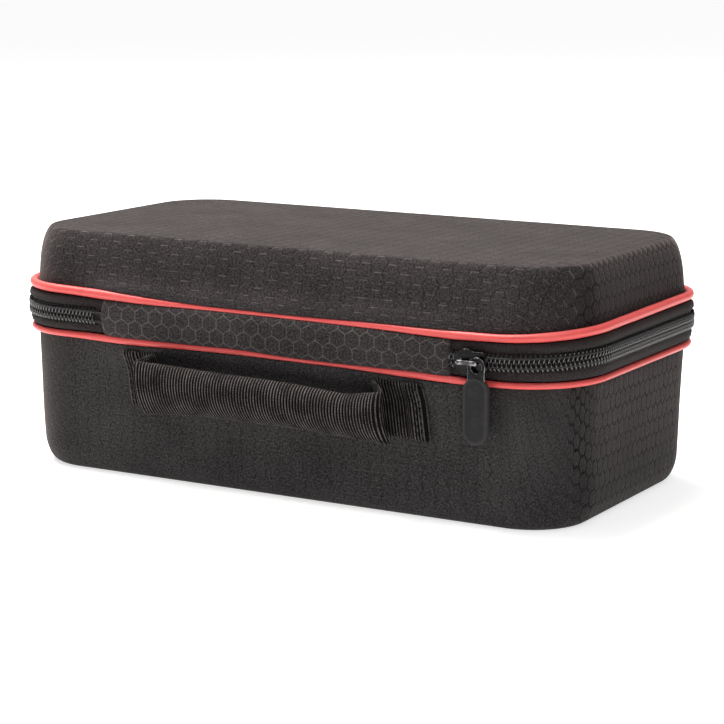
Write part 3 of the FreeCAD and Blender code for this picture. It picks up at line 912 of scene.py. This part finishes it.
def handle_route():
    """The webbing's middle line seen from above: hemmed tab, root, crease, grip, and back."""
    flat = WEB_THICK / 2
    hem = flat + WEB_THICK + 0.3
    ends = []
    for way, root, crease in ((1, 58.7, 70.8), (-1, 65.8, 68.8)):
        half = ((SPAN - HEM, flat), (SPAN, flat), (SPAN, hem), (SPAN - HEM, hem),
                (SPAN - HEM - 3.6, flat), (root, flat), (crease, REACH))
        ends.append([(way * x, out) for x, out in half])
    radii = [1.0, 1.0, 1.8, 1.8, 2.0, 2.4]
    return smooth_path(ends[0] + ends[1][::-1], radii + radii[::-1])


def on_webbing(x, out, normal, v, depth):
    """A place on the webbing: v is -0.5 to 0.5 across it, depth from its middle to its back."""
    lift = ease(WEB_THICK, REACH, out)
    curl = max(0.02, lift * float(np.interp(x, *np.array(CURL).T)))
    round_radius = WEB_WIDTH / 2 / curl
    angle = 2 * curl * v
    up = (round_radius - depth) * sin(angle)
    up -= lift * float(np.interp(x, *np.array(HANG).T))
    out += normal[1] * depth * cos(angle) - round_radius * (1 - cos(angle))
    out += 0.5 * unevenness((x, WEB_WIDTH * v, 0), 22.0, 5.5) * lift
    along = HANDLE_X + x + normal[0] * depth * cos(angle) - lerp(TAB_LEAN, GRIP_LEAN, lift) * up
    return along, wall_at(HANDLE_Z + up, 1 - lift) - out, HANDLE_Z + up


def handle_piece():
    """One length of ribbed webbing: sewn tabs, creases and a grip whose edges curl back."""
    route = handle_route()
    across = 22
    points, places = [], []
    for k, (spot, (tx, ty)) in enumerate(zip(route, np.gradient(route, axis=0))):
        normal = unit(np.array((-ty, tx)))
        s = k * WEB_STEP
        rib = 0.42 * abs(sin(pi * s / RIB_PITCH))
        row, uv = [], []
        for side in (1, -1):
            for n in range(across + 1):
                v = side * (n / across - 0.5)
                edge = 1 - ease(0.455, 0.5, abs(v))
                half_thick = WEB_THICK / 2 - 0.2 + rib * edge
                half_thick *= 0.35 + 0.65 * sqrt(max(0.0, 1 - (abs(v) * 2) ** 14))
                row.append(on_webbing(spot[0], spot[1], normal, v, side * half_thick))
                uv.append((s, v * WEB_WIDTH))
        points.append(row)
        places.append(uv + uv[:1])
    return grid_piece("handle_webbing", points, places, WEBBING)


def tab_stitches(name, x):
    """A row of thread down a hem, through both layers and into the wall."""
    top = 2 * WEB_THICK + 0.45
    path = np.array([on_webbing(x, top, (0, -1), v, 0) for v in np.linspace(-0.43, 0.43, 9)])
    runs = run_lengths(path)
    count = int(runs[-1] / STITCH_PITCH)
    sides, rings = 6, 5
    numbers, _ = grid_faces(rings, sides, wrap_cols=True)
    outward = np.array((0.0, -1.0, 0.0))
    verts, faces = [], []
    for n in range(count):
        run, left = locate(runs, (n + 0.5) * runs[-1] / count)
        along = unit(path[run + 1] - path[run])
        across = np.cross(outward, along)
        start = len(verts)
        for t in np.linspace(0, 1, rings):
            arch = sin(pi * t)
            lift = STITCH_THICK * (0.5 * arch - 0.2)
            radius = STITCH_THICK / 2 * (0.45 + 0.55 * arch)
            spot = path[run] + along * (left + (t - 0.5) * STITCH_LENGTH) + outward * lift
            verts += [spot + radius * (c * across + s * outward) for c, s in circle(sides)]
        faces += (numbers + start).tolist()
        faces.append([start + k for k in range(sides)])
        faces.append([start + (rings - 1) * sides + k for k in range(sides)][::-1])
    attach(finish_mesh(name, verts, faces, None, THREAD), "base", "webbing")


# Inside
# Distances from a padded panel's border, close together where it is pressed thin
PAD_SIDES = [0.0, 0.6, 1.4, 2.4, 3.6, 5.0, 7.0, 10.0]
PAD_BOTTOM = [0.0, 0.8, 1.6, 2.6, 4.0, 6.0, 10.0, 16.0, 24.0, 32.0]
PAD_TOP = [10.0, 6.0, 4.0, 2.6, 1.6, 0.8, 0.0]
PAD_SEAM = 3.8


def inner_reach(z):
    """Distance from the corner's centre to just inside the base wall at a height."""
    side = RIM_CORNER - BASE_TAPER - WALL - 0.4
    if z >= BASE_ROUND:
        return side + BASE_TAPER * (z - BASE_ROUND) / (BASE_RIM - BASE_ROUND)
    t = max(0.0, (z - WALL) / (BASE_ROUND - WALL))
    return side - (BASE_ROUND_INSET - WALL) * (1 - sqrt(max(0.0, 1 - (1 - t) ** 2)))


def padded_panel(name, node, along, across):
    """A foam board under cloth: fuller in the middle, pressed thin along its sewn border.

    along and across are the axes of its length and thickness.
    """
    low, high = solid_box(node)
    length, thick = high[along] - low[along], high[across] - low[across]
    middle = (low[across] + high[across]) / 2
    floor = low.z + 0.15
    height = high.z - 0.2 - floor
    steps = int((length - 20) / 6)
    columns = PAD_SIDES + [lerp(10.0, length - 10.0, k / steps) for k in range(1, steps)]
    columns += [length - c for c in PAD_SIDES[::-1]]
    levels = [v for v in PAD_BOTTOM if v < height - 12] + [height - v for v in PAD_TOP]
    points, places = [], []
    for side, half_levels in ((1, levels), (-1, levels[::-1])):
        for v in half_levels:
            z = floor + v
            limit = max(0.0, (HALF_Y if along else HALF_X) + inner_reach(z))
            row = []
            for c in columns:
                place = max(-limit, low[along] + c)
                if not along:
                    place = min(limit, place)
                edge = min(c, length - c, v, height - v)
                seam = 1 - exp(-((edge - PAD_SEAM) / 0.9) ** 2) * 0.22
                full = sqrt(max(0.0, 1 - (1 - min(edge, 3.0) / 3.0) ** 2))
                half = (thick / 2 - 0.1) * (0.25 + 0.75 * full) * seam
                half -= 0.35 * (1 - ease(3, 16, edge))
                if edge > 4:
                    half += 0.25 * unevenness((place, z, side), 20.0, 8.0)
                    half = min(thick / 2, half)
                spot = [0.0, 0.0, z]
                spot[along] = place
                spot[across] = middle + (side if along else -side) * half
                row.append(spot)
            points.append(row)
            places.append([(c, v) for c in columns])
    obj = grid_piece(name, points, places + places[:1], LINING, True, False)
    attach(obj, "base", "divider_fabric", node)


def net_piece():
    """An open mesh pocket: a thin sheet with a hole in every cell."""
    low, high = solid_box("lid_pocket_net")
    pitch = 4.6
    row_pitch = pitch * sqrt(3) / 2
    z = (low.z + high.z) / 2
    half_thick = 0.16
    corner = RIM_CORNER - WALL - 0.6
    border = 2.5
    sides = 6
    verts, faces = [], []

    def past(x, y):
        return max(0.0, abs(x) - HALF_X), max(0.0, -HALF_Y - y)

    def inside(x, y):
        return hypot(*past(x, y)) < corner - border and y < high.y - border

    def squeezed(x, y):
        dx, dy = past(x, y)
        share = corner / max(corner, hypot(dx, dy))
        if share < 1:
            x = copysign(HALF_X + dx * share, x)
            y = -HALF_Y - dy * share if dy else y
        return x, min(y, high.y)

    for row in range(-1, int((high.y - low.y - 2) / row_pitch) + 2):
        for col in range(-1, int((high.x - low.x - 2) / pitch) + 2):
            cx = low.x + 1 + (col + 0.5 * (row % 2)) * pitch
            cy = low.y + 1 + row * row_pitch
            outer, hole = [[(cx + r * c, cy + r * s) for c, s in circle(sides, pi / 6)]
                           for r in (pitch / sqrt(3), pitch * 0.40)]
            within = [inside(*p) for p in outer]
            far = dist(squeezed(cx, cy), (cx, cy)) > pitch * 0.7
            if far and not any(within) and not inside(cx, cy):
                continue
            outer = [squeezed(*p) for p in outer]
            sag = [0.4 * unevenness((*p, 0), 40.0, 2.0) for p in outer]
            start = len(verts)
            for face_z in (z + half_thick, z - half_thick):
                for ring in (outer, hole):
                    verts += [(*p, face_z + s) for p, s in zip(ring, sag)]
            top, top_hole, under, under_hole = [start + n * sides for n in range(4)]
            if all(within):
                for k in range(sides):
                    n = (k + 1) % sides
                    faces += [[top + k, top + n, top_hole + n, top_hole + k],
                              [under + n, under + k, under_hole + k, under_hole + n],
                              [top_hole + k, top_hole + n, under_hole + n, under_hole + k]]
            else:
                faces += [[top + k for k in range(sides)],
                          [under + k for k in range(sides)][::-1]]
    uvs = [verts[v][:2] for face in faces for v in face]
    obj = finish_mesh("net_pocket", verts, faces, uvs, ELASTIC, smooth=False)
    attach(obj, "lid", "pocket_net", "lid_pocket_net")


def binding_piece():
    """The pocket's elastic edge, gathered in small ripples."""
    low, high = solid_box("pocket_binding")
    middle, half = (low + high) / 2, (high - low) / 2
    count = 150
    sides = 20
    points, places = [], []
    for k in range(count + 1):
        x = lerp(low.x + 0.2, high.x - 0.2, k / count)
        thick = half.z - 0.15 + 0.12 * sin(x * 2 * pi / 4.2)
        row = []
        for c, s in circle(sides):
            y = half.y * copysign(abs(c) ** 0.45, c) * 0.985
            pinch = 1 - 0.28 * exp(-((abs(y) - 2.6) / 0.8) ** 2)
            row.append((x, middle.y + y, middle.z + thick * copysign(abs(s) ** 0.6, s) * pinch))
        points.append(row)
        places.append([(x, n * 1.1) for n in range(sides + 1)])
    attach(grid_piece("pocket_edge", points, places, ELASTIC), "lid", "elastic", "pocket_binding")


# Assembly
def attach(piece, body, slot, *nodes):
    """Gives a piece its body and hides the solids it stands for; slot, its finish, is not used.

    With two heights for a body, it only has its transform applied, and stays where it is.
    """
    if isinstance(body, str):
        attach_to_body(piece, body)
    else:
        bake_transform(piece)
    if nodes:
        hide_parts(*nodes)


def build_shells():
    insets = (BASE_ROUND_INSET, BASE_ROUND_INSET - WALL)
    rows = shell_rows(0.0, BASE_RIM, BASE_TAPER, BASE_ROUND, insets, (12, 8), ((0.72, 5.0),),
                      (1.2, 8.0))
    base = shell_piece("base_skin", BASE_CLOTH, rows, 0.0, BASE_RIM, -1, 42.0, 1.7)
    attach(base, "base", "shell_fabric", "base_shell")
    insets = (LID_ROUND_INSET, LID_ROUND_INSET - WALL / 2)
    rows = shell_rows(TOP, LID_RIM, LID_TAPER, LID_ROUND, insets, (20, 10), (), (1.0, 5.0))
    lid = shell_piece("lid_skin", LID_CLOTH, rows, TOP, LID_RIM, 1, 12.6, 4.2)
    attach(lid, "lid", "shell_fabric", "lid_shell")


def build_zip():
    stations = zip_stations()
    # The parked end lies near the slider, up to an angle of the first corner.
    count = sum(bx > 0 and by < 0 and ny < 0 and atan2(ny, nx) <= CHAIN_END
                for bx, by, nx, ny, _ in stations)
    parked, rest = stations[:count], stations[count - 1:]
    toothed = [s for s in rest[1:] if s[0] > 0 or s[3] > -1 or s[0] < TEETH_END]
    for way, body in ((1, "base"), (-1, "lid")):
        attach(tape_piece(body + "_tape", rest, way), body, "zip_tape", body + "_zipper_tape")
        teeth = coil_piece(body + "_teeth", toothed, (-way,))
        attach(teeth, body, "zip_coil", body + "_zipper_coil")
        for strip in coil_strips(body + "_coil_", rest, (-way,)):
            attach(strip, body, "zip_tape")
    # The parked end lies above the slider, which stays with the base.
    bend = (SLIDER_HIGH.z, LID_RIM - 0.3)
    attach(tape_piece("parked_tape_lower", parked, 1), bend, "zip_tape", "zipper_chain_end")
    attach(tape_piece("parked_tape_upper", parked, -1), bend, "zip_tape")
    attach(coil_piece("parked_teeth", parked[1:], (-1, 1)), bend, "zip_coil")
    for strip in coil_strips("parked_", parked, (-1, 1)):
        attach(strip, bend, "zip_tape")


# Studio. The light comes from above and from a pale backdrop; to the camera the room is white.
SKY_START, SKY_END = 0.4, 0.95
SKY_LOW, SKY_HIGH = 0.05, 0.9
FLOOR_GLOW = 0.66
FLOOR_Z = -0.05
FLOOR_HALF = 12000.0
BACKDROP = (-0.5, 0.866, 0.0)
BACKDROP_START, BACKDROP_END = 0.45, 0.85
BACKDROP_GLOW = 0.5


def area_light(name, place, target, size, power, color=(1, 1, 1)):
    data = bpy.data.lights.new(name, "AREA")
    data.shape = "RECTANGLE"
    data.size = data.size_y = size
    data.energy = power
    data.color = color
    obj = new_object(name, data)
    obj.location = place
    obj.rotation_euler = (Vector(target) - Vector(place)).to_track_quat("-Z", "Y").to_euler()


def studio():
    scene = bpy.context.scene
    camera = bpy.data.cameras.new("camera")
    camera.lens = CAMERA_LENS
    camera.sensor_width = SENSOR
    camera.clip_start = 0.05
    camera.clip_end = 30
    view = new_object("camera", camera)
    view.location = Vector(CAMERA_PLACE) * MM
    view.rotation_euler = Euler([radians(angle) for angle in CAMERA_TURN])
    scene.camera = view

    scene.view_settings.view_transform = "Standard"
    scene.world = bpy.data.worlds.new("studio")
    scene.world.use_nodes = True
    room = Nodes(scene.world.node_tree)
    direction = room.add("TexCoord", {})
    sky = room.ramp(room.parts(direction)[2], SKY_START, SKY_END, SKY_LOW, SKY_HIGH)
    behind = room.vector("DOT_PRODUCT", direction, BACKDROP, output=1)
    backdrop = room.ramp(behind, BACKDROP_START, BACKDROP_END, 0.0, BACKDROP_GLOW)
    glow = room.math("MAXIMUM", sky, backdrop)
    to_camera = room.add("LightPath", {})
    background = room.nodes["Background"].inputs
    room.give(background[0], (1, 1, 1, 1))
    room.give(background[1], room.add("Mix", {0: to_camera, 2: glow, 3: 1.0}))

    paper = Finish("paper", grey(0.5), 0.9, specular=0.0, in_frame=True)
    tone = paper.noise(400.0, 2.0)
    paper.set({"Base Color": paper.mix(tone, grey(0.55), grey(0.57)),
               "Emission Color": (1, 1, 1, 1), "Emission Strength": FLOOR_GLOW})
    signs = ((-1, -1), (1, -1), (1, 1), (-1, 1))
    corners = [(x * FLOOR_HALF, y * FLOOR_HALF, FLOOR_Z) for x, y in signs]
    floor = finish_mesh("studio_floor", corners, [[0, 1, 2, 3]], None, paper.material)
    area_light("overhead", (-0.6, 0.2, 1.65), (0, 0, 0.1), 1.1, 83, (1.0, 0.95, 0.91))
    area_light("front_left", (-0.6, -0.8, 1.9), (0, 0, 0.06), 0.8, 3)
    area_light("front_right", (1.3, -1.1, 1.4), (0.1, 0, 0.06), 0.8, 8)


build_shells()
attach(piping_piece("piping_lower", -1, 0.3), "base", "piping", "base_piping")
attach(piping_piece("piping_upper", 1, 6.3), "lid", "piping", "lid_piping")
build_zip()
attach(hinge_band(), (BASE_RIM + 0.6, LID_RIM - 0.6), "band_fabric", "hinge_band")
attach(handle_piece(), "base", "webbing", "handle_strap")
for way, word in ((-1, "left"), (1, "right")):
    tab_stitches("tab_thread_" + word + "_outer", way * (SPAN - 1.7))
    tab_stitches("tab_thread_" + word + "_inner", way * (SPAN - 4.4))
for metal, material in (("zipper_slider", BODY_NICKEL), ("slider_puller", PULL_NICKEL),
                        ("rubber_pull", RUBBER)):
    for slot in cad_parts[metal].material_slots:
        slot.material = material
padded_panel("divider_long", "long_divider", 0, 1)
padded_panel("divider_left", "cross_divider_left", 1, 0)
padded_panel("divider_right", "cross_divider_right", 1, 0)
net_piece()
binding_piece()
studio()

bpy.context.view_layer.update()
